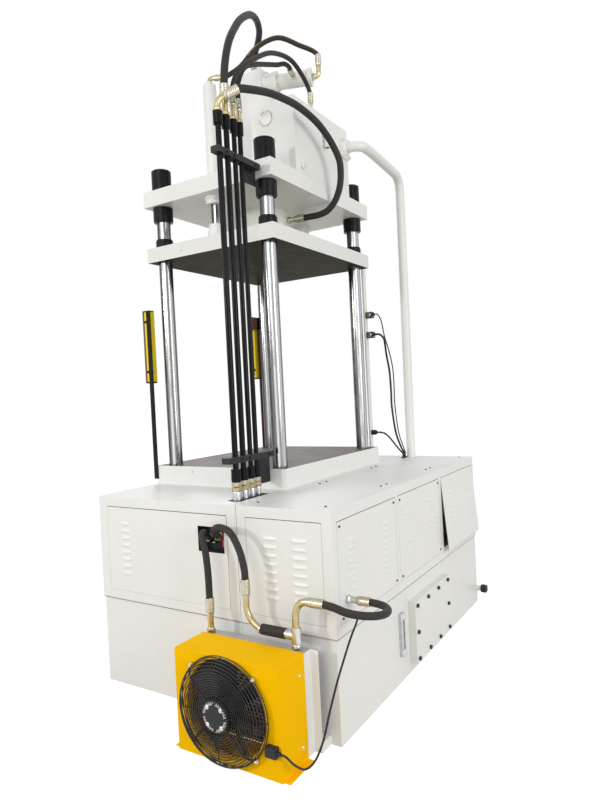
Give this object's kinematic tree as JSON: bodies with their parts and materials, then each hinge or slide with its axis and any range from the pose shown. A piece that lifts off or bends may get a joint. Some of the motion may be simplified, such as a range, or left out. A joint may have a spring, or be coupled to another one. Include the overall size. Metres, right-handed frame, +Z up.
{
  "type": "four-column hydraulic press",
  "caption": "Four-column down-stroking hydraulic press on a raised sheet-metal base, with rear power unit, hoses and a floor-standing oil cooler",
  "frame": {"origin": "on the floor, on the press axis: the ram's axis meets the floor plane", "axes": "+Z up, -Y towards the operator, +Y towards the power unit, +X towards the oil cooler"},
  "size_m": [2.406, 1.73, 3.6879],
  "materials": {
    "cream_paint": "satin machine enamel, lightly uneven",
    "black_steel": "blackened, slightly oily",
    "chromed_steel": "ground and hard chromed, with oil film",
    "machined_steel": "turned and milled",
    "fitting_brass": "yellow zinc plate and brass",
    "hose_rubber": "cloth-textured hydraulic hose",
    "cooler_yellow": "orange-yellow coating",
    "curtain_yellow": "yellow extrusion with dark lens",
    "post_brown": "red-brown primer",
    "guard_wire": "black coated wire",
    "core_alloy": "painted pale fins",
    "motor_paint": "motor enamel",
    "black_plastic": "moulded",
    "gauge_plastic": "clear and pale moulding"
  },
  "bodies": {
    "frame": {"press_base": "cream_paint", "front_enclosure": "cream_paint", "side_panels": "cream_paint", "far_access_panels": "cream_paint", "oil_tank": "cream_paint", "tank_lid": "cream_paint", "clean_out_cover": "cream_paint", "level_gauge": "gauge_plastic", "drain_cap": "black_plastic", "power_unit_housing": "cream_paint", "rear_panels": "cream_paint", "rear_panel_ajar": "cream_paint", "top_cover_plates": "cream_paint", "panel_screws": "black_steel", "cable_glands": "black_plastic", "electric_motor": "motor_paint", "bell_housing": "machined_steel", "gear_pump": "machined_steel", "valve_manifold": "machined_steel", "bed": "cream_paint", "columns": "chromed_steel", "column_nuts": "black_steel", "crown": "cream_paint", "main_cylinder": "cream_paint", "return_cylinders": "cream_paint", "fill_tank": "cream_paint", "fill_valve": "cream_paint", "return_pipe": "cream_paint", "pressure_pipes": "black_steel", "pipe_clamps": "black_steel", "hose_fittings": "fitting_brass", "light_curtains": "curtain_yellow", "curtain_posts": "post_brown", "position_rail": "cream_paint", "position_sensors": "black_plastic", "cooler_shroud": "cooler_yellow", "cooler_core": "core_alloy", "fan_guard": "guard_wire", "fan_motor": "black_steel", "fan_terminal_box": "black_plastic", "cooler_frame": "cream_paint", "hose_fill": "hose_rubber", "hose_return_cylinder": "hose_rubber", "hose_prefill": "hose_rubber", "hose_pilot": "hose_rubber", "hose_main_cylinder": "hose_rubber", "cooler_hose_in": "hose_rubber", "cooler_hose_out": "hose_rubber", "cooler_hose_tank": "hose_rubber", "fan_cable": "black_plastic", "sensor_cable_upper": "black_plastic", "sensor_cable_middle": "black_plastic", "sensor_cable_lower": "black_plastic"},
    "slide_body": {"slide": "cream_paint", "guide_bushes": "black_steel", "main_ram": "chromed_steel", "return_rods": "chromed_steel", "rod_anchors": "cream_paint"},
    "fan_body": {"cooler_fan": "black_plastic"},
    "drive_body": {"drive_coupling": "machined_steel"}
  },
  "joints": [
    {"name": "slide_travel", "type": "slide", "parent": "frame", "child": "slide_body", "axis": [0, 0, -1], "range_m": [0, 0.5]},
    {"name": "fan_spin", "type": "hinge", "parent": "frame", "child": "fan_body", "pos_m": [1.34, 0.602, 0.228], "axis": [1, 0, 0], "continuous": true},
    {"name": "pump_drive_spin", "type": "hinge", "parent": "frame", "child": "drive_body", "pos_m": [0.12, 0.73, 0.647], "axis": [1, 0, 0], "continuous": true}
  ]
}
